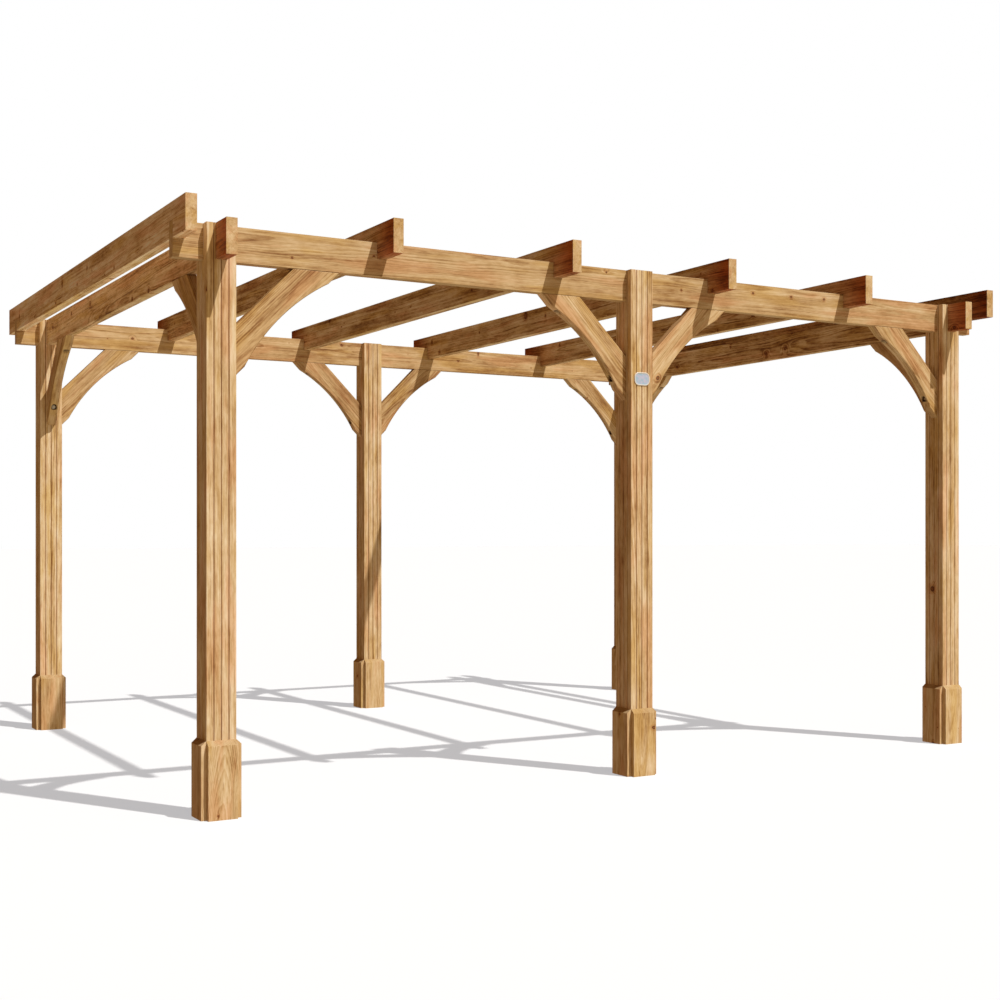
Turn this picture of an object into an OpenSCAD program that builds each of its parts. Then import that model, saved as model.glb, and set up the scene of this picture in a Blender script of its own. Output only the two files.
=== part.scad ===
// Timber pergola: six grooved posts carry a ring of beams let into slots in the post tops.
// Six notched rafters sit across the long beams, curved knee braces stiffen every corner,
// and each post foot is clad with four short boards.
// The frame's origin is at the middle of the footprint, on the ground, with the long side along X.

/* [Frame] */
// Distance between neighbouring post centres along the long side
bay_x = 1980; // [1500:10:2400]
// Distance between the front and back post centres
bay_y = 2893; // [1600:1:3400]
// Height of the post tops, flush with the tops of the beams
frame_h = 2294; // [1900:1:2700]
// How far the beams and rafters run on past the post centres
overhang = 180; // [120:5:300]

/* [Posts] */
// Side of each square post
post_w = 120; // [100:5:160]
// Grooves down each face of a post
groove_count = 3; // [1:1:4]
// Width of a groove at the face of the post
groove_w = 6; // [3:0.5:12]
// Depth of a groove
groove_d = 4.5; // [2:0.5:8]

/* [Beams and rafters] */
// Thickness of the beams, rafters and braces
board_t = 45; // [35:1:60]
// Height of the beams, rafters and braces
board_h = 140; // [110:5:180]
// Play of a board in its slot or notch, both sides together
joint_play = 1; // [0:0.5:2]
// Depth of the notch that seats a rafter on a beam
rafter_notch = 67; // [30:1:80]

/* [Knee braces] */
// Straight inner edge of a brace: distance of its ends from the corner of post and beam
brace_reach = 252; // [180:2:320]
// How far the curved edge is hollowed towards the inner edge
brace_hollow = 38; // [15:1:60]
// Straight length left at each end of the curved edge
brace_flat = 68; // [30:1:100]

/* [Base cladding] */
// Height of the boards round a post foot
clad_h = 305; // [200:5:400]
// Thickness of the boards
clad_t = 21; // [15:1:30]
// Height of the sloping top edge
clad_slope = 19; // [10:1:40]
// Gap between the boards at a corner of the post
clad_gap = 1; // [0.5:0.5:4]

/* [Plaque] */
// Width of the plaque
plaque_w = 84; // [60:1:100]
// Height of the plaque
plaque_h = 60; // [56:1:90]
// Thickness of the plaque
plaque_t = 3; // [2:0.5:6]
// Radius of the plaque's corners
plaque_r = 24; // [4:1:26]
// Height of the plaque's middle above the ground
plaque_z = 1800; // [1400:10:2000]

/* [Hidden] */
beam_z = frame_h - board_h;
post_y = bay_y / 2;
beam_end_x = bay_x + overhang;
beam_end_y = post_y + overhang;
rafter_z = frame_h - rafter_notch;
rafter_count = 6;
rafter_pitch = (2 * beam_end_x - board_t) / (rafter_count - 1);
slot_w = board_t + joint_play;
lap_h = board_h / 2;
brace_outer = brace_reach + board_h * sqrt(2);
brace_half_chord = brace_outer / sqrt(2) - brace_flat;
brace_r = (pow(brace_half_chord, 2) + pow(brace_hollow, 2)) / (2 * brace_hollow);
// How far a cutter runs on past the face it cuts
clear = 1;

// Cross-section of a post: a square with V grooves down every face
module post_section() {
    groove_pitch = post_w / (groove_count + 1);
    difference() {
        square(post_w, center = true);
        for (side = [0 : 3], i = [1 : groove_count])
            rotate(90 * side)
                translate([i * groove_pitch - post_w / 2, post_w / 2])
                    polygon([[-groove_w / 2, clear], [-groove_w / 2, 0], [0, -groove_d],
                             [groove_w / 2, 0], [groove_w / 2, clear]]);
    }
}

// Post at column ix (-1, 0, 1) of the front (-1) or back (1) row; a corner post is slotted both ways
module post(ix, iy) {
    color("burlywood")
        translate([ix * bay_x, iy * post_y, 0])
            difference() {
                linear_extrude(frame_h) post_section();
                beam_slot();
                if (ix != 0) rotate(90) beam_slot();
            }
}

// Slot across the top of a post, along X
module beam_slot() {
    translate([-post_w, -slot_w / 2, beam_z])
        cube([2 * post_w, slot_w, board_h + clear]);
}

// One cladding board on the -Y face of a post, with its top edge sloped to shed water
module base_board() {
    board_w = post_w - clad_gap;
    translate([-board_w / 2, -post_w / 2, 0])
        rotate([90, 0, 90])
            linear_extrude(board_w)
                polygon([[0, 0], [-clad_t, 0], [-clad_t, clad_h - clad_slope], [0, clad_h]]);
}

// The four boards round one post foot
module base_boards(ix, iy) {
    color("tan")
        translate([ix * bay_x, iy * post_y, 0])
            for (side = [0 : 3]) rotate(90 * side) base_board();
}

// Long beam of the front (-1) or back (1) row, lapped on top where the side beams cross it
module long_beam(iy) {
    color("peru")
        translate([0, iy * post_y, 0])
            difference() {
                translate([-beam_end_x, -board_t / 2, beam_z])
                    cube([2 * beam_end_x, board_t, board_h]);
                for (ix = [-1, 1])
                    translate([ix * bay_x - slot_w / 2, -board_t, frame_h - lap_h])
                        cube([slot_w, 2 * board_t, lap_h + clear]);
            }
}

// Side beam on the left (-1) or right (1), lapped below where it crosses the long beams
module side_beam(ix) {
    color("peru")
        translate([ix * bay_x, 0, 0])
            difference() {
                translate([-board_t / 2, -beam_end_y, beam_z])
                    cube([board_t, 2 * beam_end_y, board_h]);
                for (iy = [-1, 1])
                    translate([-board_t, iy * post_y - slot_w / 2, beam_z - clear])
                        cube([2 * board_t, slot_w, lap_h + clear]);
            }
}

// Rafter number i, counted from the left, notched over the long beams
module rafter(i) {
    color("sandybrown")
        translate([(i - (rafter_count + 1) / 2) * rafter_pitch, 0, rafter_z])
            difference() {
                translate([-board_t / 2, -beam_end_y, 0])
                    cube([board_t, 2 * beam_end_y, board_h]);
                for (iy = [-1, 1])
                    translate([-board_t, iy * post_y - slot_w / 2, -clear])
                        cube([2 * board_t, slot_w, rafter_notch + clear]);
            }
}

// Knee brace in the corner of a post face at x = 0 and a beam at z = 0, reaching out along +X
module brace_shape() {
    rotate([90, 0, 0])
        difference() {
            linear_extrude(board_t, center = true)
                polygon([[0, -brace_reach], [0, -brace_outer], [brace_outer, 0], [brace_reach, 0]]);
            rotate(-45)
                translate([brace_outer / sqrt(2) - brace_hollow + brace_r, 0, 0])
                    cylinder(h = 2 * board_t, r = brace_r, center = true, $fn = 180);
        }
}

// Brace under a long beam, on the side of post column ix that faces direction dir
module long_brace(ix, iy, dir) {
    color("goldenrod")
        translate([ix * bay_x + dir * post_w / 2, iy * post_y, beam_z])
            rotate(dir > 0 ? 0 : 180)
                brace_shape();
}

// Brace under a side beam, reaching from a corner post towards the middle
module side_brace(ix, iy) {
    color("goldenrod")
        translate([ix * bay_x, iy * (post_y - post_w / 2), beam_z])
            rotate(-90 * iy)
                brace_shape();
}

// Small plate with rounded corners on the front face of the middle post
module plaque() {
    color("lightsteelblue")
        translate([0, -post_y - post_w / 2, plaque_z])
            rotate([90, 0, 0])
                linear_extrude(plaque_t)
                    union() {
                        square([plaque_w - 2 * plaque_r, plaque_h], center = true);
                        square([plaque_w, plaque_h - 2 * plaque_r], center = true);
                        for (sx = [-1, 1], sy = [-1, 1])
                            translate([sx * (plaque_w / 2 - plaque_r), sy * (plaque_h / 2 - plaque_r)])
                                circle(plaque_r, $fn = 48);
                    }
}

post(-1, -1);  // post_front_left
post(0, -1);  // post_front_middle
post(1, -1);  // post_front_right
post(-1, 1);  // post_back_left
post(0, 1);  // post_back_middle
post(1, 1);  // post_back_right
base_boards(-1, -1);  // base_boards_front_left
base_boards(0, -1);  // base_boards_front_middle
base_boards(1, -1);  // base_boards_front_right
base_boards(-1, 1);  // base_boards_back_left
base_boards(0, 1);  // base_boards_back_middle
base_boards(1, 1);  // base_boards_back_right
long_beam(-1);  // front_beam
long_beam(1);  // back_beam
side_beam(-1);  // left_beam
side_beam(1);  // right_beam
rafter(1);  // rafter_1
rafter(2);  // rafter_2
rafter(3);  // rafter_3
rafter(4);  // rafter_4
rafter(5);  // rafter_5
rafter(6);  // rafter_6
long_brace(-1, -1, 1);  // front_brace_1
long_brace(0, -1, -1);  // front_brace_2
long_brace(0, -1, 1);  // front_brace_3
long_brace(1, -1, -1);  // front_brace_4
long_brace(-1, 1, 1);  // back_brace_1
long_brace(0, 1, -1);  // back_brace_2
long_brace(0, 1, 1);  // back_brace_3
long_brace(1, 1, -1);  // back_brace_4
side_brace(-1, -1);  // left_brace_front
side_brace(-1, 1);  // left_brace_back
side_brace(1, -1);  // right_brace_front
side_brace(1, 1);  // right_brace_back
plaque();
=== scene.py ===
"""Looks of the wooden pergola: planed softwood timbers under a honey-coloured stain.

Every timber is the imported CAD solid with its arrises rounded, or is built again where a curve or a bolt
recess needs a finer mesh. Each vertex stores where it lies in the log that the timber was sawn from, so
one solid wood texture gives rings, knots and end grain that agree from face to face.
"""
import math
import random
from collections import namedtuple

import bmesh
import bpy
from mathutils import Matrix, Vector


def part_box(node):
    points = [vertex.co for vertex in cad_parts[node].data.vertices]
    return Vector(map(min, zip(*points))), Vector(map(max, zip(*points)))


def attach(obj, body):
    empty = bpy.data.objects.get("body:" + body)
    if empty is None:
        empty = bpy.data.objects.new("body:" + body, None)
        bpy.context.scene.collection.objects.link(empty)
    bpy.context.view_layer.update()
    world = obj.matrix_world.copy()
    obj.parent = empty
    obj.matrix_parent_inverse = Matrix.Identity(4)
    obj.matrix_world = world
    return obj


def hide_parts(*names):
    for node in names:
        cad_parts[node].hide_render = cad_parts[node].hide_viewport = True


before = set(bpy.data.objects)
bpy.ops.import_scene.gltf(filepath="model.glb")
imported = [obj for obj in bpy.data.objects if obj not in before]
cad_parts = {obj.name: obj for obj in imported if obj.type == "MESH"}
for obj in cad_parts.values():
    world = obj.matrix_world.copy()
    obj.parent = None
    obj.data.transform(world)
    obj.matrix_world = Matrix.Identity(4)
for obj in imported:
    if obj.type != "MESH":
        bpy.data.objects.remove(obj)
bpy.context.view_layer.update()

X, Y, Z = Vector((1, 0, 0)), Vector((0, 1, 0)), Vector((0, 0, 1))

# Camera: level, at eye height in front of the left end
CAMERA_AT = Vector((-3.788, -6.788, 1.105))
CAMERA_TURN = math.radians(29.96)
CAMERA_LENS = 51.28
CAMERA_SENSOR = 36.0
CAMERA_SHIFT_UP = 0.0321

# Light: a key from the front right, high up, and a fill that differs with its direction
KEY_TRAVEL = Vector((-0.56, 1.0, -1.9))
KEY_STRENGTH = 4.1
KEY_COLOUR = (1.0, 0.985, 0.95)
KEY_SPREAD = math.radians(0.8)
FILL_ALL_ROUND = (0.135, 0.04, 0.0)
FILL_FROM_BELOW = (0.98, 1.02, 0.84)
FILL_FROM_FRONT = (0.44, 0.42, 0.31)
# The higher the power, the closer a fill keeps to its direction
POWER_FROM_BELOW = 3.0
POWER_FROM_FRONT = 2.0

FLOOR_HALF = 90.0
FLOOR_COLOUR = (0.45, 0.45, 0.45, 1.0)
FLOOR_GLOW = (0.43, 0.46, 0.49, 1.0)

# Timber edges, in metres: the long arrises are rounded by the whole radius, others by a share of it
ARRIS_RADIUS = 0.0016
BRACE_ARRIS_RADIUS = 0.004
ARRIS_SEGMENTS = 3
CUT_EDGE_SHARE = 0.3
GROOVE_LIP_SHARE = 0.2
SHARP_TURN = math.radians(30)
BOLT_SHARP_TURN = math.radians(46)
# How nearly two directions agree, as a cosine: an edge with the grain, one on a brace's curve or across it,
# and a face with the end of the timber
ALONG_GRAIN, ON_CURVE, ACROSS, FACES_END = 0.9, 0.6, 0.1, 0.7
GROOVE_DEPTH = 0.0045
CORNER_ZONE = 0.055

# Knee brace, the same outline as the CAD brace
BRACE_REACH = 0.252
BRACE_HOLLOW = 0.038
BRACE_FLAT = 0.068
ARC_STEPS = 40

# Coach bolts that hold the braces
BOLT_PLACE = 0.195
RECESS_RADIUS = 0.015
RECESS_DEPTH = 0.02
RECESS_MARGIN = 0.001
# The painted shade in a recess is full from this share of its depth on
RECESS_SHADE = 1 / 3
CUTTER_LENGTH = 0.2
WASHER_RADIUS = 0.0115
WASHER_HEIGHT = 0.0022
HEAD_RADIUS = 0.0078
HEAD_HEIGHT = 0.006
BOLT_EDGE = 0.0005
ROUND_SIDES = 40
HEXAGON_SIDES = 6

# Plaque: its corners, and each ring of the plate as how far in from the outline it lies, what share of the
# thickness it stands out, and whether it is rim
PLAQUE_CORNER = 0.024
PLAQUE_RINGS = ((0.0, 0.0, 1), (0.0, 0.55, 1), (0.0006, 0.85, 1), (0.0018, 1.0, 1), (0.0042, 1.0, 1),
                (0.0056, 0.8, 0), (0.0066, 0.62, 0), (0.011, 0.6, 0))

# Where the pith lies from a timber's middle. It is off to one side by between these two distances, on both
# axes of a post and across the thin side of a board. Along the wide side it is anywhere within one distance.
POST_PITH = (0.08, 0.14)
BOOT_PITH = (0.035, 0.055)
BOOT_PITH_WIDE = 0.02
BOARD_PITH = (0.04, 0.085)
BOARD_PITH_WIDE = 0.03
# How far the grain may drift across a timber's wide and thin sides, for each metre
POST_SLANT = (0.006, 0.006)
BOOT_SLANT = (0.04, 0.11)
BOARD_SLANT = (0.012, 0.012)
BRACE_SLANT = (0.02, 0.03)
LOG_LENGTH = 40.0

# How much paler, or with a minus darker, the long faces of a timber are than its kind
LONG_BEAM_LIGHT = {"front_beam": -0.1, "back_beam": 0.0}
SIDE_BEAM_LIGHT = {"left_beam": 0.1, "right_beam": 0.0}
# The last rafter's minus is painted shade, for the dark side it shows above the right beam
RAFTER_LIGHT = (0.4, 0.0, 0.0, 0.0, 0.0, -0.35)
BRACE_LIGHT = {"front": 0.0, "back": -0.1}
# How strongly painted shade darkens the ends of a rafter or side beam
FIRST_RAFTER_END_SHADE = 0.2
RAFTER_END_SHADE = 1.0

rng = random.Random(11)


# ---------------------------------------------------------------- shader graphs

class Graph:
    """Builds a node tree: most calls add one node and return its output socket."""

    def __init__(self, tree):
        self.tree = tree

    def fill(self, socket, value):
        """Links a socket to another node's output, or sets it to a constant."""
        if isinstance(value, bpy.types.NodeSocket):
            self.tree.links.new(value, socket)
        else:
            socket.default_value = value

    def node(self, kind, inputs=None, **settings):
        made = self.tree.nodes.new(kind)
        for name, value in settings.items():
            setattr(made, name, value)
        for key, value in (inputs or {}).items():
            self.fill(made.inputs[key], value)
        return made

    def math(self, operation, a, b=0.0):
        return self.node("ShaderNodeMath", {0: a, 1: b}, operation=operation).outputs[0]

    def vector(self, operation, a, b=(0, 0, 0), out=0):
        return self.node("ShaderNodeVectorMath", {0: a, 1: b}, operation=operation).outputs[out]

    def scaled(self, a, factor):
        return self.node("ShaderNodeVectorMath", {0: a, "Scale": factor}, operation="SCALE").outputs[0]

    def parts(self, a):
        return self.node("ShaderNodeSeparateXYZ", {0: a}).outputs

    def joined(self, x, y, z):
        return self.node("ShaderNodeCombineXYZ", {0: x, 1: y, 2: z}).outputs[0]

    def noise(self, at, detail=2.0, rough=0.5, out=0):
        inputs = {"Vector": at, "Scale": 1.0, "Detail": detail, "Roughness": rough}
        return self.node("ShaderNodeTexNoise", inputs).outputs[out]

    def cells(self, at, feature):
        return self.node("ShaderNodeTexVoronoi", {"Vector": at, "Scale": 1.0}, feature=feature).outputs

    def ranged(self, value, low, high, to_low=0.0, to_high=1.0, smooth=True):
        inputs = {0: value, 1: low, 2: high, 3: to_low, 4: to_high}
        kind = "SMOOTHSTEP" if smooth else "LINEAR"
        return self.node("ShaderNodeMapRange", inputs, interpolation_type=kind).outputs[0]

    def mixed(self, factor, a, b, blend="MIX"):
        made = self.node("ShaderNodeMix", data_type="RGBA", blend_type=blend, clamp_factor=True)
        for key, value in ((0, factor), (6, a), (7, b)):
            self.fill(made.inputs[key], value)
        return made.outputs[2]

    def ramp(self, value, stops):
        """A colour ramp with one stop for each pair of position and colour."""
        made = self.node("ShaderNodeValToRGB", {0: value})
        elements = made.color_ramp.elements
        while len(elements) < len(stops):
            elements.new(1.0)
        for element, (position, colour) in zip(elements, stops):
            element.position = position
            element.color = colour
        return made.outputs[0]

    def attribute(self, name, out="Vector"):
        return self.node("ShaderNodeAttribute", attribute_name=name).outputs[out]

    def object_place(self):
        return self.node("ShaderNodeTexCoord").outputs["Object"]

    def camera_sees(self, seen, unseen):
        """One shader for the rays from the camera and another for all other rays."""
        ray = self.node("ShaderNodeLightPath").outputs["Is Camera Ray"]
        return self.node("ShaderNodeMixShader", {0: ray, 1: unseen.outputs[0], 2: seen.outputs[0]})


def rgb(red, green, blue):
    """An sRGB colour of 0 to 255 as a linear colour."""
    def linear(c):
        c /= 255
        return c / 12.92 if c <= 0.04045 else ((c + 0.055) / 1.055) ** 2.4
    return (linear(red), linear(green), linear(blue), 1.0)


def new_material(name):
    material = bpy.data.materials.new(name)
    material.use_nodes = True
    material.node_tree.nodes.clear()
    return material, Graph(material.node_tree)


def finish_material(graph, shader):
    graph.node("ShaderNodeOutputMaterial", {"Surface": shader.outputs[0]})


# ---------------------------------------------------------------- wood

# The range of tones in the wood, from latewood lines and stains to the palest earlywood
TONES = ((0.0, rgb(108, 68, 34)), (0.22, rgb(160, 118, 72)), (0.45, rgb(202, 168, 119)),
         (0.68, rgb(224, 196, 153)), (1.0, rgb(245, 228, 198)))
MEAN_TONE = 0.56
TIMBER_SWING = 0.05
LIGHT_SHARE = 0.5
PINK = rgb(250, 210, 188)
OLIVE = rgb(238, 220, 150)
KNOT_RIM = rgb(70, 36, 16)
KNOT_CORE = rgb(138, 80, 38)
# Painted shade near the ends of the rafters and side beams
PAINTED_END_SHADE = rgb(202, 126, 76)
# Painted shade in the grooves of the posts
PAINTED_GROOVE_SHADE = rgb(150, 96, 56)
# Painted shade in the bolt recesses of the braces
PAINTED_RECESS_SHADE = rgb(70, 40, 22)
# Painted shade that darkens faces that look up
PAINTED_TOP_SHADE = rgb(214, 212, 208)

# A noise in the wood: how often it repeats in a metre across and along the grain, its detail and roughness,
# and how far it swings the tone
Noise = namedtuple("Noise", "across along detail rough swing", defaults=(0.0,))
WANDER = Noise(6.0, 1.1, 2.0, 0.5)
RIPPLE = Noise(42.0, 5.0, 2.0, 0.5)
BROAD = Noise(34.0, 0.9, 2.0, 0.5, swing=0.3)
STREAK = Noise(110.0, 1.7, 3.0, 0.6, swing=0.32)
FIBRE = Noise(900.0, 14.0, 2.0, 0.6, swing=0.2)
BLOTCH = Noise(16.0, 6.0, 3.0, 0.6, swing=0.32)
FLECK = Noise(120.0, 28.0, 2.0, 0.6, swing=0.17)
PATCHES = Noise(15.0, 2.2, 3.0, 0.55)
CHECKS = Noise(260.0, 3.4, 1.0, 0.5)
LATEWOOD_SWING = -0.24
KNOT_SWING = -0.14
# The share of all these swings that a sawn end loses
CUT_CALM = 0.5

# Yearly rings, in metres
RING_WIDTH = 0.0052
TAPER = 0.012
RING_RIPPLE = 0.004
# Which share of a year's growth the latewood darkens in, and where it stops
LATEWOOD_RISE, LATEWOOD_STOP = (0.25, 0.85), (0.9, 1.0)
LEAST_RADIUS = 0.002
FAINTEST_RING = 0.3

# Knots: the cells that may hold one, in log radii and in metres along it, and how thick a branch grows
KNOT_CELLS = (0.6, 0.6, 4.2)
CELL_BORDER = 0.12
BRANCH_GROWTH = 0.07
BRANCH_LEAST = 0.004
LEAST_THICKNESS = 0.0001
KNOT_STRETCH = 0.8
RING_SWELL = 0.9
# Where each effect of a knot fades, in the knot's own radii from its middle
KNOT_HEART = (0.35, 0.8)
KNOT_EDGE = (0.85, 1.15)
KNOT_DENT = (0.9, 1.1)
KNOT_HALO = (0.9, 3.2)
KNOT_SWIRL = (0.8, 4.0)

# Between which noise values the pink and olive patches and the fine checks come in, and how strong they get
PINK_RANGE, PINK_MOST, PINK_AT_KNOTS = (0.5, 0.66), 0.45, 0.4
OLIVE_RANGE, OLIVE_MOST = (0.34, 0.5), 0.55
CHECK_RANGE, CHECK_MOST = (0.7, 0.76), 0.6
KNOT_MOST = 0.9

# How far from a timber's end the painted end shade reaches, in metres
END_SHADE_REACH = 0.28
# Between which upward normal components the painted top shade comes in
UPWARD = (0.3, 0.8)

# Surface: bump in metres, and roughness with what latewood and sawn ends add to it
BUMP_STRENGTH, BUMP_HEIGHT = 0.5, 0.0007
LATEWOOD_BUMP, FIBRE_BUMP, KNOT_BUMP = 0.5, 0.6, -0.3
ROUGHNESS, LATEWOOD_ROUGHNESS, CUT_ROUGHNESS = 0.62, -0.12, 0.2
GLOSS = 0.3


def total(g, *values):
    result = values[0]
    for value in values[1:]:
        result = g.math("ADD", result, value)
    return result


def wood_noise(g, at, noise, out=0):
    """A noise laid out along the grain; out=1 gives its colour, which is three noises in one."""
    stretched = g.vector("MULTIPLY", at, (noise.across, noise.across, noise.along))
    return g.noise(stretched, noise.detail, noise.rough, out)


def swung(g, value, noise):
    """A noise value of 0 to 1 as a swing of the tone to both sides of zero."""
    return g.math("MULTIPLY", g.math("SUBTRACT", value, 0.5), 2.0 * noise.swing)


def knots(g, across, radius, along, clear):
    """Branches that leave the pith, fewer as clear nears 1: how near one is, in its radii, and its radius."""
    around = g.vector("DIVIDE", across, g.joined(radius, radius, 1.0))
    cell_at = g.vector("MULTIPLY", g.vector("ADD", around, g.joined(0, 0, along)), KNOT_CELLS)
    cell = g.cells(cell_at, "F1")
    branch = g.vector("MULTIPLY", cell["Position"], (1.0, 1.0, 0.0))
    facing = g.vector("DOT_PRODUCT", around, g.vector("NORMALIZE", branch), out=1)
    chord = g.math("MAXIMUM", g.math("SUBTRACT", 2.0, g.math("MULTIPLY", facing, 2.0)), 0.0)
    sideways = g.math("MULTIPLY", g.math("SQRT", chord), radius)
    height = g.math("DIVIDE", g.parts(cell["Position"])[2], KNOT_CELLS[2])
    lengthways = g.math("MULTIPLY", g.math("SUBTRACT", along, height), KNOT_STRETCH)
    distance = g.vector("LENGTH", g.joined(sideways, lengthways, 0.0), out=1)
    size = g.ranged(g.parts(cell["Color"])[0], clear, 1.0, smooth=False)
    grown = g.math("ADD", g.math("MULTIPLY", radius, BRANCH_GROWTH), BRANCH_LEAST)
    inland = g.ranged(g.cells(cell_at, "DISTANCE_TO_EDGE")["Distance"], 0.0, CELL_BORDER)
    thickness = g.math("MULTIPLY", g.math("MULTIPLY", size, grown), inland)
    share = g.math("DIVIDE", distance, g.math("MAXIMUM", thickness, LEAST_THICKNESS))
    return share, thickness


def growth_rings(g, log, radius, along, share, thickness):
    """Latewood lines of the yearly rings, which swell round the knots and differ from year to year."""
    swell = g.math("MULTIPLY", thickness, RING_SWELL)
    swell = g.math("MULTIPLY", g.ranged(share, *KNOT_SWIRL, 1.0, 0.0), swell)
    ripple = g.math("MULTIPLY", wood_noise(g, log, RIPPLE), RING_RIPPLE)
    straight = g.math("ADD", radius, g.math("MULTIPLY", along, TAPER))
    years = g.math("DIVIDE", g.math("ADD", straight, g.math("ADD", swell, ripple)), RING_WIDTH)
    season = g.math("FRACT", years)
    vigour = g.node("ShaderNodeTexWhiteNoise", {"W": g.math("FLOOR", years)}, noise_dimensions="1D")
    stop = g.ranged(season, *LATEWOOD_STOP, 1.0, 0.0)
    latewood = g.math("MULTIPLY", g.ranged(season, *LATEWOOD_RISE), stop)
    strength = g.ranged(vigour.outputs["Value"], 0.0, 1.0, FAINTEST_RING, 1.0, smooth=False)
    return g.math("MULTIPLY", latewood, strength)


def bent_grain(g, log, sway):
    """The place in the log after the trunk has wandered a little to both sides."""
    wander = g.vector("SUBTRACT", wood_noise(g, log, WANDER, out=1), (0.5, 0.5, 0.5))
    return g.vector("ADD", log, g.vector("MULTIPLY", wander, (sway, sway, 0.0)))


def tone_swing(g, log, bent, fibre, latewood, near_knot):
    """How much paler or darker the wood is here than its mean tone."""
    def swings(at, noise):
        return swung(g, wood_noise(g, at, noise), noise)

    return total(g, swings(bent, BROAD), swings(bent, STREAK), swung(g, fibre, FIBRE), swings(log, BLOTCH),
                 swings(log, FLECK), g.math("MULTIPLY", latewood, LATEWOOD_SWING),
                 g.math("MULTIPLY", near_knot, KNOT_SWING))


def marked(g, colour, log, bent, share, near_knot):
    """Adds the pink and olive patches, the fine dark checks and the knots to a wood colour."""
    patches = wood_noise(g, log, PATCHES)
    pink = g.math("ADD", g.ranged(patches, *PINK_RANGE, 0.0, PINK_MOST),
                  g.math("MULTIPLY", near_knot, PINK_AT_KNOTS))
    colour = g.mixed(pink, colour, PINK, blend="MULTIPLY")
    colour = g.mixed(g.ranged(patches, *OLIVE_RANGE, OLIVE_MOST, 0.0), colour, OLIVE, blend="MULTIPLY")
    check = g.ranged(wood_noise(g, bent, CHECKS), *CHECK_RANGE, 0.0, CHECK_MOST)
    colour = g.mixed(check, colour, KNOT_CORE)
    knot = g.mixed(g.ranged(share, *KNOT_HEART), KNOT_CORE, KNOT_RIM)
    return g.mixed(g.ranged(share, *KNOT_EDGE, KNOT_MOST, 0.0), colour, knot)


def painted_shading(g, colour, from_end, end_shade, depth, hollow):
    """Adds painted shade: darker near a timber's ends, in grooves and bolt recesses, and on faces that look
    up.
    """
    # Painted shade near a timber's ends
    end_shading = g.math("MULTIPLY", g.ranged(from_end, 0.0, END_SHADE_REACH, 1.0, 0.0), end_shade)
    colour = g.mixed(end_shading, colour, PAINTED_END_SHADE, blend="MULTIPLY")
    # Painted shade in grooves and bolt recesses, by how deep the vertex lies
    colour = g.mixed(depth, colour, hollow, blend="MULTIPLY")
    # Painted shade on faces that look up
    upward = g.parts(g.node("ShaderNodeNewGeometry").outputs["Normal"])[2]
    return g.mixed(g.ranged(upward, *UPWARD), colour, PAINTED_TOP_SHADE, blend="MULTIPLY")


def wood_surface(g, colour, cut, fibre, latewood, share):
    dent = g.ranged(share, *KNOT_DENT, 1.0, 0.0)
    height = total(g, g.math("MULTIPLY", latewood, LATEWOOD_BUMP), g.math("MULTIPLY", fibre, FIBRE_BUMP),
                   g.math("MULTIPLY", dent, KNOT_BUMP))
    bump = g.node("ShaderNodeBump", {"Strength": BUMP_STRENGTH, "Distance": BUMP_HEIGHT, "Height": height})
    roughness = total(g, ROUGHNESS, g.math("MULTIPLY", latewood, LATEWOOD_ROUGHNESS),
                      g.math("MULTIPLY", cut, CUT_ROUGHNESS))
    inputs = {"Base Color": colour, "Roughness": roughness, "Normal": bump.outputs[0]}
    shader = g.node("ShaderNodeBsdfPrincipled", inputs)
    shader.inputs["Specular IOR Level"].default_value = GLOSS
    return shader


def wood(name, pale=0.0, contrast=1.0, sway=0.05, clear=0.4, hollow=PAINTED_GROOVE_SHADE):
    """Stained softwood, textured in the space of the log: x and y across it from the pith, z along it."""
    material, g = new_material(name)
    log = g.attribute("log")
    shade, end_shade, light = g.parts(g.attribute("tone"))
    to_start, to_end, depth = g.parts(g.attribute("place"))
    cut = g.attribute("cut", "Fac")
    uncut = g.math("SUBTRACT", 1.0, cut)

    bent = bent_grain(g, log, sway)
    along = g.parts(log)[2]
    across = g.vector("MULTIPLY", bent, (1.0, 1.0, 0.0))
    radius = g.math("MAXIMUM", g.vector("LENGTH", across, out=1), LEAST_RADIUS)
    share, thickness = knots(g, across, radius, along, clear)
    latewood = growth_rings(g, log, radius, along, share, thickness)
    near_knot = g.ranged(share, *KNOT_HALO, 1.0, 0.0)
    fibre = wood_noise(g, bent, FIBRE)

    swing = tone_swing(g, log, bent, fibre, latewood, near_knot)
    calmed = g.math("SUBTRACT", contrast, g.math("MULTIPLY", cut, CUT_CALM * contrast))
    lift = g.math("MULTIPLY", g.math("MULTIPLY", light, LIGHT_SHARE), uncut)
    value = total(g, MEAN_TONE + pale, g.math("MULTIPLY", swing, calmed),
                  g.math("MULTIPLY", shade, TIMBER_SWING), lift)
    colour = g.scaled(g.ramp(value, TONES), g.math("ADD", 1.0, lift))

    colour = marked(g, colour, log, bent, share, near_knot)
    from_end = g.math("MINIMUM", to_start, to_end)
    colour = painted_shading(g, colour, from_end, g.math("MULTIPLY", uncut, end_shade), depth, hollow)
    finish_material(g, wood_surface(g, colour, cut, fibre, latewood, share))
    return material


# ---------------------------------------------------------------- mesh helpers

def cad_shape(node):
    """The node's CAD mesh with its triangles merged back into flat faces."""
    shape = bmesh.new()
    shape.from_mesh(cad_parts[node].data)
    bmesh.ops.remove_doubles(shape, verts=shape.verts, dist=1e-5)
    bmesh.ops.dissolve_limit(shape, angle_limit=math.radians(0.5), verts=shape.verts, edges=shape.edges)
    return shape


def direction(edge):
    return (edge.verts[1].co - edge.verts[0].co).normalized()


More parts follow.
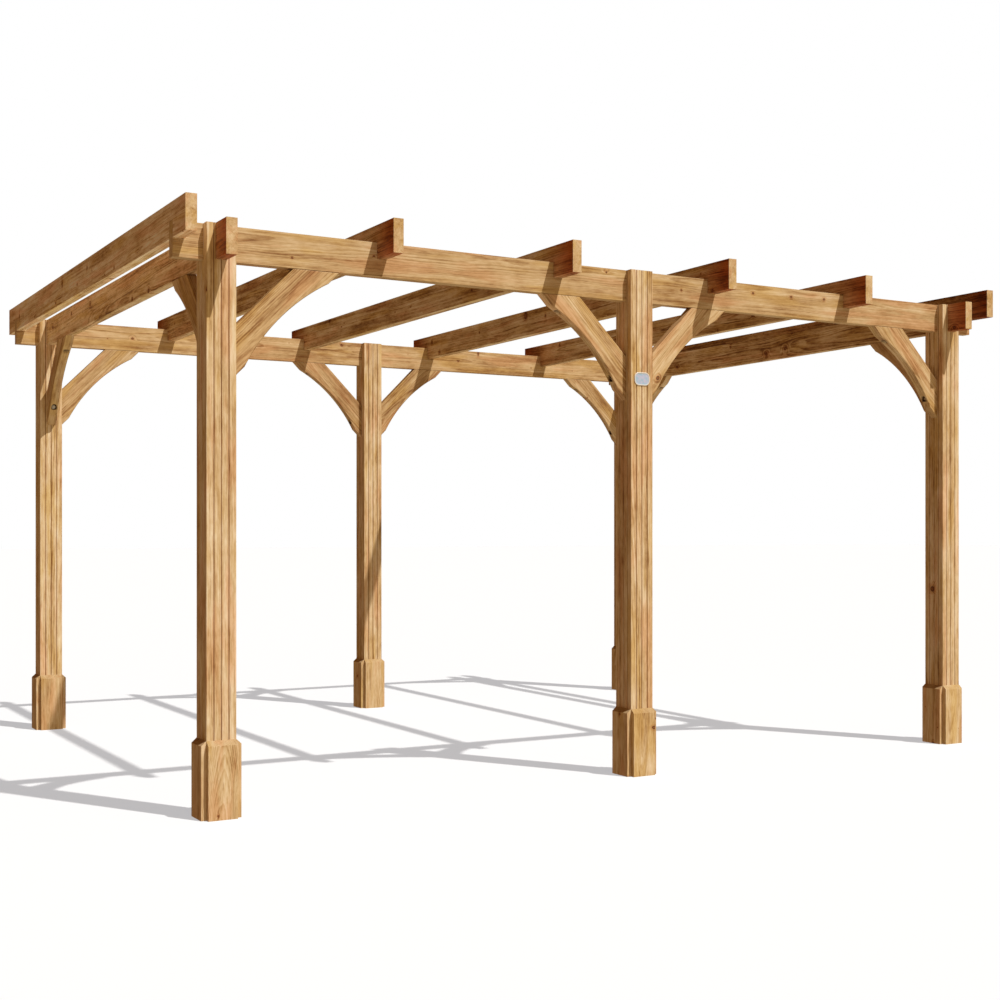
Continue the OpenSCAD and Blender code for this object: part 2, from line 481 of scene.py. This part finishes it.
def weigh_edges(shape, grain, weight_of=None):
    """Marks how far each outer edge is rounded: long arrises most, saw-cut edges less."""
    layer = shape.edges.layers.float.new("bevel_weight_edge")
    shape.normal_update()
    for edge in shape.edges:
        if len(edge.link_faces) != 2 or not edge.is_convex:
            continue
        if edge.calc_face_angle() < SHARP_TURN:
            continue
        lengthways = abs(direction(edge).dot(grain)) > ALONG_GRAIN
        edge[layer] = (weight_of(edge) if weight_of else 1.0) if lengthways else CUT_EDGE_SHARE
    return layer


def new_piece(name, shape):
    mesh = bpy.data.meshes.new(name)
    shape.to_mesh(mesh)
    shape.free()
    piece = bpy.data.objects.new(name, mesh)
    bpy.context.scene.collection.objects.link(piece)
    return piece


def apply_modifiers(piece):
    """Replaces the piece's mesh by the result of its modifiers."""
    graph = bpy.context.evaluated_depsgraph_get()
    result = bpy.data.meshes.new_from_object(piece.evaluated_get(graph))
    piece.modifiers.clear()
    piece.data = result


def round_edges(piece, radius):
    bevel = piece.modifiers.new("arrises", "BEVEL")
    bevel.limit_method = "WEIGHT"
    bevel.width = radius
    bevel.segments = ARRIS_SEGMENTS
    bevel.use_clamp_overlap = False


def smooth(piece):
    for polygon in piece.data.polygons:
        polygon.use_smooth = True
    piece.modifiers.new("flat faces", "WEIGHTED_NORMAL").keep_sharp = True
    apply_modifiers(piece)


def islands(mesh):
    """Groups the mesh's vertices by the loose solid they belong to."""
    group = list(range(len(mesh.vertices)))

    def root(i):
        while group[i] != i:
            group[i] = group[group[i]]
            i = group[i]
        return i

    for edge in mesh.edges:
        a, b = root(edge.vertices[0]), root(edge.vertices[1])
        group[a] = b
    found = {}
    for i in range(len(mesh.vertices)):
        found.setdefault(root(i), []).append(i)
    return list(found.values())


def grain_frames(piece, placing, end_shade, light, depth_of=None):
    """Stores on every vertex where it lies in its log and along its timber, how deep it lies for the painted
    groove and recess shade, and the timber's own tone with how much painted shade its ends take.
    """
    mesh = piece.data
    for name, kind, domain in (("log", "FLOAT_VECTOR", "POINT"), ("place", "FLOAT_VECTOR", "POINT"),
                               ("tone", "FLOAT_VECTOR", "POINT"), ("cut", "FLOAT", "FACE")):
        mesh.attributes.new(name, kind, domain)
    log, place, tone, cut = (mesh.attributes[name] for name in ("log", "place", "tone", "cut"))
    grain = {}
    for group in islands(mesh):
        centre = sum((mesh.vertices[i].co for i in group), Vector()) / len(group)
        along, wide, thin, pith, lean = placing(centre)
        shade = rng.uniform(-1, 1)
        start = rng.uniform(0, LOG_LENGTH)
        runs = [(mesh.vertices[i].co - centre).dot(along) for i in group]
        low, high = min(runs), max(runs)
        for i, run in zip(group, runs):
            at = mesh.vertices[i].co - centre
            log.data[i].vector = (at.dot(wide) + pith[0] + lean[0] * run,
                                  at.dot(thin) + pith[1] + lean[1] * run, run + start)
            depth = depth_of(mesh.vertices[i].co) if depth_of else 0.0
            place.data[i].vector = (run - low, high - run, depth)
            tone.data[i].vector = (shade, end_shade, light)
            grain[i] = along
    for polygon in mesh.polygons:
        towards_end = abs(polygon.normal.dot(grain[polygon.vertices[0]]))
        cut.data[polygon.index].value = float(towards_end > FACES_END)


def timber(node, shape, placing, material, end_shade=0.0, light=0.0, depth_of=None, extra=None,
           arris=ARRIS_RADIUS):
    """Turns a shape into a finished timber that stands for a CAD node."""
    piece = new_piece("timber_" + node, shape)
    round_edges(piece, arris)
    apply_modifiers(piece)
    if extra:
        extra(piece)
    smooth(piece)
    grain_frames(piece, placing, end_shade, light, depth_of)
    piece.data.materials.clear()
    piece.data.materials.append(material)
    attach(piece, "root")
    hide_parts(node)


def slant(wide, thin):
    """How far the grain drifts off a timber's own axis, across its wide and thin sides, for each metre."""
    return rng.uniform(-wide, wide), rng.uniform(-thin, thin)


def off_side(near, far):
    return rng.choice((-1, 1)) * rng.uniform(near, far)


# ---------------------------------------------------------------- posts and their cladding

def post(node, material):
    low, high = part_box(node)
    middle = (low + high) / 2
    half = (high.x - low.x) / 2

    def weight_of(edge):
        at = (edge.verts[0].co + edge.verts[1].co) / 2 - middle
        at_corner = abs(at.x) > CORNER_ZONE and abs(at.y) > CORNER_ZONE
        return 1.0 if at_corner else GROOVE_LIP_SHARE

    def placing(centre):
        return Z, X, Y, (off_side(*POST_PITH), off_side(*POST_PITH)), slant(*POST_SLANT)

    # Sets how much painted groove shade the wood takes
    def depth_of(at):
        """How deep in a groove: 0 at the post's faces, 1 at the bottom of a groove."""
        inward = half - max(abs(at.x - middle.x), abs(at.y - middle.y))
        return min(max(inward / GROOVE_DEPTH, 0.0), 1.0)

    shape = cad_shape(node)
    weigh_edges(shape, Z, weight_of)
    timber(node, shape, placing, material, depth_of=depth_of)


def base_boards(node, material):
    low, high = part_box(node)
    middle = (low + high) / 2

    def placing(centre):
        out = centre - middle
        outward = X if abs(out.x) > abs(out.y) else Y
        wide = Y if outward == X else X
        pith = (rng.uniform(-BOOT_PITH_WIDE, BOOT_PITH_WIDE), off_side(*BOOT_PITH))
        return Z, wide, outward, pith, slant(*BOOT_SLANT)

    shape = cad_shape(node)
    weigh_edges(shape, Z)
    timber(node, shape, placing, material)


# ---------------------------------------------------------------- beams and rafters

def flat_sawn():
    """Where the pith lies from a board's middle: off to one side of its wide face."""
    return rng.uniform(-BOARD_PITH_WIDE, BOARD_PITH_WIDE), off_side(*BOARD_PITH)


def board(node, along, material, end_shade=0.0, light=0.0):
    def placing(centre):
        thin = Y if along == X else X
        return along, Z, thin, flat_sawn(), slant(*BOARD_SLANT)

    shape = cad_shape(node)
    weigh_edges(shape, along)
    timber(node, shape, placing, material, end_shade, light)


# ---------------------------------------------------------------- braces

def brace_arc(width):
    """The brace's reach at its outer ends, and its hollow edge: half its chord, its radius and its centre."""
    outer = BRACE_REACH + width * math.sqrt(2)
    half_chord = outer / math.sqrt(2) - BRACE_FLAT
    radius = (half_chord ** 2 + BRACE_HOLLOW ** 2) / (2 * BRACE_HOLLOW)
    centre = outer / math.sqrt(2) - BRACE_HOLLOW + radius
    return outer, half_chord, radius, centre


def off_corner(deep, sideways):
    """A point so far from the corner of post and beam, square to the brace, and so far along the brace."""
    return (deep + sideways) / math.sqrt(2), (sideways - deep) / math.sqrt(2)


def brace_outline(width):
    """Points round a brace in its own plane: x out from the post, and z up from the beam's underside."""
    outer, half_chord, radius, centre = brace_arc(width)
    half_angle = math.asin(half_chord / radius)
    points = [(BRACE_REACH, 0.0), (0.0, -BRACE_REACH), (0.0, -outer)]
    for step in range(ARC_STEPS + 1):
        angle = half_angle * (2 * step / ARC_STEPS - 1)
        points.append(off_corner(centre - radius * math.cos(angle), radius * math.sin(angle)))
    points.append((outer, 0.0))
    return points


def brace_shape(width, thickness):
    shape = bmesh.new()
    face = shape.faces.new([shape.verts.new((x, -thickness / 2, z)) for x, z in brace_outline(width)])
    made = bmesh.ops.extrude_face_region(shape, geom=[face])
    moved = [v for v in made["geom"] if isinstance(v, bmesh.types.BMVert)]
    bmesh.ops.translate(shape, verts=moved, vec=(0, thickness, 0))
    bmesh.ops.recalc_face_normals(shape, faces=shape.faces)
    return shape


def bolt_places(width):
    """Each bolt as its recess's floor and the direction that its head faces, in the brace's own axes."""
    radius, centre = brace_arc(width)[2:]
    places = []
    for sideways, out in ((-BOLT_PLACE, X), (BOLT_PLACE, -Z)):
        x, z = off_corner(centre - math.sqrt(radius ** 2 - sideways ** 2), sideways)
        places.append((Vector((x, 0.0, z)) - out * RECESS_DEPTH, out))
    return places


def cylinder(radius, length, base, out, sides=ROUND_SIDES):
    """A mesh cylinder that stands on base and points along out."""
    shape = bmesh.new()
    bmesh.ops.create_cone(shape, cap_ends=True, segments=sides, radius1=radius, radius2=radius, depth=length)
    turn = out.to_track_quat("Z", "Y").to_matrix().to_4x4()
    bmesh.ops.transform(shape, matrix=Matrix.Translation(base + out * length / 2) @ turn, verts=shape.verts)
    return shape


def brace_place(node, turn):
    """The matrix that puts a brace into its corner: the post's face and the beam's underside."""
    low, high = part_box(node)
    reach = Matrix.Rotation(turn, 3, "Z") @ X
    corner = Vector((low.x if reach.x > 0.5 else high.x, low.y if reach.y > 0.5 else high.y, high.z))
    if abs(reach.x) > 0.5:
        corner.y = (low.y + high.y) / 2
    else:
        corner.x = (low.x + high.x) / 2
    return Matrix.Translation(corner) @ Matrix.Rotation(turn, 4, "Z")


def drill_recesses(piece, width, place):
    """Cuts a round, flat-bottomed hole for each bolt."""
    cutters = []
    for floor, out in bolt_places(width):
        shape = cylinder(RECESS_RADIUS, CUTTER_LENGTH, floor, out)
        bmesh.ops.transform(shape, matrix=place, verts=shape.verts)
        cutter = new_piece("cutter", shape)
        cutters.append(cutter)
        cutting = piece.modifiers.new("recess", "BOOLEAN")
        cutting.object = cutter
        cutting.operation = "DIFFERENCE"
        cutting.solver = "EXACT"
    apply_modifiers(piece)
    for cutter in cutters:
        bpy.data.objects.remove(cutter)


def recess_depth(at, seats):
    """How dark the painted recess shade is: 0 at a recess's mouth and anywhere outside one, 1 deep inside it.
    """
    depth = 0.0
    for floor, out in seats:
        off = at - floor
        height = off.dot(out)
        if (off - out * height).length < RECESS_RADIUS + RECESS_MARGIN:
            depth = max(depth, min(1.0, (1.0 - height / RECESS_DEPTH) / RECESS_SHADE))
    return depth


def brace(node, turn, material, light):
    """Builds a brace and returns where its bolts sit: each recess's floor and the direction it faces."""
    low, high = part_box(node)
    thickness = min(high.x - low.x, high.y - low.y)
    width = (high.z - low.z - BRACE_REACH) / math.sqrt(2)
    place = brace_place(node, turn)
    turned = place.to_3x3()
    grain = turned @ Vector((1, 0, 1)).normalized()
    wide = turned @ Vector((1, 0, -1)).normalized()
    side = turned @ Y
    seats = [(place @ floor, turned @ out) for floor, out in bolt_places(width)]

    def placing(centre):
        return grain, wide, side, flat_sawn(), slant(*BRACE_SLANT)

    shape = brace_shape(width, thickness)
    bmesh.ops.transform(shape, matrix=place, verts=shape.verts)
    layer = weigh_edges(shape, grain)
    for edge in shape.edges:
        run = direction(edge)
        on_curve = abs(run.dot(side)) < ACROSS and abs(run.dot(grain)) > ON_CURVE
        if on_curve and edge.calc_face_angle() > SHARP_TURN:
            edge[layer] = 1.0
    timber(node, shape, placing, material, light=light, arris=BRACE_ARRIS_RADIUS,
           depth_of=lambda at: recess_depth(at, seats),
           extra=lambda piece: drill_recesses(piece, width, place))
    return seats


def bolt_heads(seats, material):
    """One mesh of all the washers and hexagon heads that sit in the brace recesses."""
    shape = bmesh.new()
    for floor, out in seats:
        for radius, length, lift, sides in ((WASHER_RADIUS, WASHER_HEIGHT, 0.0, ROUND_SIDES),
                                            (HEAD_RADIUS, HEAD_HEIGHT, WASHER_HEIGHT, HEXAGON_SIDES)):
            part = cylinder(radius, length, floor + out * lift, out, sides)
            rims = [e for e in part.edges if e.calc_face_angle(0) > BOLT_SHARP_TURN]
            bmesh.ops.bevel(part, geom=rims, offset=BOLT_EDGE, segments=2, affect="EDGES")
            mesh = bpy.data.meshes.new("part")
            part.to_mesh(mesh)
            part.free()
            shape.from_mesh(mesh)
            bpy.data.meshes.remove(mesh)
    piece = new_piece("brace_bolts", shape)
    smooth(piece)
    piece.data.materials.append(material)
    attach(piece, "root")


def zinc():
    material, g = new_material("zinc_plated_steel")
    mottle = g.noise(g.scaled(g.object_place(), 260.0), 3.0, 0.6)
    colour = g.mixed(mottle, rgb(232, 230, 222), rgb(196, 194, 186))
    roughness = g.ranged(mottle, 0.3, 0.7, 0.3, 0.5)
    shader = g.node("ShaderNodeBsdfPrincipled", {"Base Color": colour, "Roughness": roughness})
    shader.inputs["Metallic"].default_value = 0.6
    finish_material(g, shader)
    return material


# ---------------------------------------------------------------- plaque

def enamel():
    """Blank enamel plate: pale blue field, off-white rim, told apart by the mesh's own rim attribute."""
    material, g = new_material("enamel")
    rim = g.attribute("rim", "Fac")
    place = g.object_place()
    cloud = g.noise(g.scaled(place, 55.0), 3.0, 0.55)
    field = g.mixed(g.ranged(cloud, 0.35, 0.65), rgb(168, 200, 222), rgb(200, 202, 228))
    colour = g.mixed(rim, field, rgb(232, 226, 216))
    ripple = g.noise(g.scaled(place, 400.0), 2.0, 0.5)
    bump = g.node("ShaderNodeBump", {"Strength": 0.2, "Distance": 0.0003, "Height": ripple})
    shader = g.node("ShaderNodeBsdfPrincipled", {"Base Color": colour, "Normal": bump.outputs[0]})
    shader.inputs["Roughness"].default_value = 0.28
    shader.inputs["Coat Weight"].default_value = 0.4
    finish_material(g, shader)
    return material


def rounded_ring(half_w, half_h, radius, steps=10):
    """Points round a rectangle with rounded corners."""
    points = []
    for corner, (sx, sy) in enumerate(((1, 1), (-1, 1), (-1, -1), (1, -1))):
        for step in range(steps + 1):
            angle = math.pi / 2 * (corner + step / steps)
            points.append((sx * (half_w - radius) + radius * math.cos(angle),
                           sy * (half_h - radius) + radius * math.sin(angle)))
    return points


def plate_shape(low, high):
    """A pressed plate, a flat field inside a raised and rounded rim, and which of its vertices are rim."""
    half_w, half_h, thick = (high.x - low.x) / 2, (high.z - low.z) / 2, high.y - low.y
    middle = (low + high) / 2
    shape = bmesh.new()
    loops = []
    for inset, lift, _ in PLAQUE_RINGS:
        points = rounded_ring(half_w - inset, half_h - inset, PLAQUE_CORNER - inset)
        front = high.y - thick * lift
        loops.append([shape.verts.new((middle.x + x, front, middle.z + z)) for x, z in points])
    count = len(loops[0])
    for a, b in zip(loops, loops[1:]):
        for i in range(count):
            shape.faces.new((a[i], a[(i + 1) % count], b[(i + 1) % count], b[i]))
    shape.faces.new(loops[-1])
    shape.faces.new(list(reversed(loops[0])))
    bmesh.ops.recalc_face_normals(shape, faces=shape.faces)
    shape.verts.index_update()
    rim_of = {v.index: is_rim for loop, (_, _, is_rim) in zip(loops, PLAQUE_RINGS) for v in loop}
    return shape, rim_of


def plaque(node, material):
    shape, rim_of = plate_shape(*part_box(node))
    piece = new_piece("plate_" + node, shape)
    rim = piece.data.attributes.new("rim", "FLOAT", "POINT")
    for index, is_rim in rim_of.items():
        rim.data[index].value = float(is_rim)
    smooth(piece)
    piece.data.materials.append(material)
    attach(piece, "root")
    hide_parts(node)


# ---------------------------------------------------------------- stage

def make_camera():
    camera = bpy.data.objects.new("camera", bpy.data.cameras.new("camera"))
    camera.location = CAMERA_AT
    camera.rotation_euler = (math.pi / 2, 0.0, -CAMERA_TURN)
    camera.data.sensor_width = CAMERA_SENSOR
    camera.data.lens = CAMERA_LENS
    camera.data.shift_y = CAMERA_SHIFT_UP
    bpy.context.scene.collection.objects.link(camera)
    bpy.context.scene.camera = camera


def make_key():
    key = bpy.data.lights.new("key", "SUN")
    key.energy = KEY_STRENGTH
    key.angle = KEY_SPREAD
    key.color = KEY_COLOUR
    lamp = bpy.data.objects.new("key", key)
    lamp.rotation_mode = "QUATERNION"
    lamp.rotation_quaternion = KEY_TRAVEL.to_track_quat("-Z", "Y")
    bpy.context.scene.collection.objects.link(lamp)


def fill_from(g, component, colour, power):
    """Light from where this component of the direction is negative, fading to nothing at right angles."""
    facing = g.math("MAXIMUM", g.math("MULTIPLY", component, -1.0), 0.0)
    return g.scaled(colour, g.math("POWER", facing, power))


def make_world():
    """White to look at, but it lights with a soft fill: all round, off the pale floor, and from the front."""
    world = bpy.data.worlds.new("studio")
    world.use_nodes = True
    world.node_tree.nodes.clear()
    g = Graph(world.node_tree)
    towards = g.parts(g.node("ShaderNodeTexCoord").outputs["Generated"])
    light = g.vector("ADD", fill_from(g, towards[2], FILL_FROM_BELOW, POWER_FROM_BELOW),
                     fill_from(g, towards[1], FILL_FROM_FRONT, POWER_FROM_FRONT))
    light = g.vector("ADD", light, FILL_ALL_ROUND)
    fill = g.node("ShaderNodeBackground", {"Color": light, "Strength": 1.0})
    seen = g.node("ShaderNodeBackground", {"Color": (1.0, 1.0, 1.0, 1.0), "Strength": 1.0})
    g.node("ShaderNodeOutputWorld", {"Surface": g.camera_sees(seen, fill).outputs[0]})
    bpy.context.scene.world = world


def make_floor():
    """A plain pale floor with grey shadows. The world's fill from below stands for what it sends back."""
    shape = bmesh.new()
    corners = [(-1, -1), (1, -1), (1, 1), (-1, 1)]
    shape.faces.new([shape.verts.new((x * FLOOR_HALF, y * FLOOR_HALF, 0.0)) for x, y in corners])
    floor = new_piece("floor", shape)
    material, g = new_material("pale_floor")
    shown = g.node("ShaderNodeBsdfDiffuse", {"Color": FLOOR_COLOUR})
    glow = g.node("ShaderNodeEmission", {"Color": FLOOR_GLOW, "Strength": 1.0})
    pale = g.node("ShaderNodeAddShader", {0: shown.outputs[0], 1: glow.outputs[0]})
    finish_material(g, g.camera_sees(pale, g.node("ShaderNodeBsdfTransparent")))
    floor.data.materials.append(material)


# ---------------------------------------------------------------- the object

def build_posts():
    post_wood = wood("post_wood", pale=0.12, contrast=1.3, sway=0.02, clear=0.88)
    boot_wood = wood("boot_wood", pale=0.05)
    for row in ("front", "back"):
        for column in ("left", "middle", "right"):
            post(f"post_{row}_{column}", post_wood)
            base_boards(f"base_boards_{row}_{column}", boot_wood)


def build_beams_and_rafters():
    beam_wood = wood("beam_wood", pale=-0.04, contrast=0.9)
    rafter_wood = wood("rafter_wood", contrast=1.5)
    for node, light in LONG_BEAM_LIGHT.items():
        board(node, X, beam_wood, light=light)
    for node, light in SIDE_BEAM_LIGHT.items():
        board(node, Y, rafter_wood, RAFTER_END_SHADE, light)
    for number, light in enumerate(RAFTER_LIGHT, start=1):
        end_shade = FIRST_RAFTER_END_SHADE if number == 1 else RAFTER_END_SHADE
        board(f"rafter_{number}", Y, rafter_wood, end_shade, light)


def build_braces():
    brace_wood = wood("brace_wood", pale=-0.06, contrast=0.95, sway=0.03, clear=0.85, hollow=PAINTED_RECESS_SHADE)
    seats = []
    for row, light in BRACE_LIGHT.items():
        for number in range(1, 5):
            turn = 0.0 if number % 2 else math.pi
            seats += brace(f"{row}_brace_{number}", turn, brace_wood, light)
    for side in ("left", "right"):
        seats += brace(f"{side}_brace_front", math.pi / 2, brace_wood, 0.0)
        seats += brace(f"{side}_brace_back", -math.pi / 2, brace_wood, 0.0)
    bolt_heads(seats, zinc())


make_camera()
make_key()
make_world()
make_floor()
build_posts()
build_beams_and_rafters()
build_braces()
plaque("plaque", enamel())

bpy.context.scene.view_settings.view_transform = "Standard"
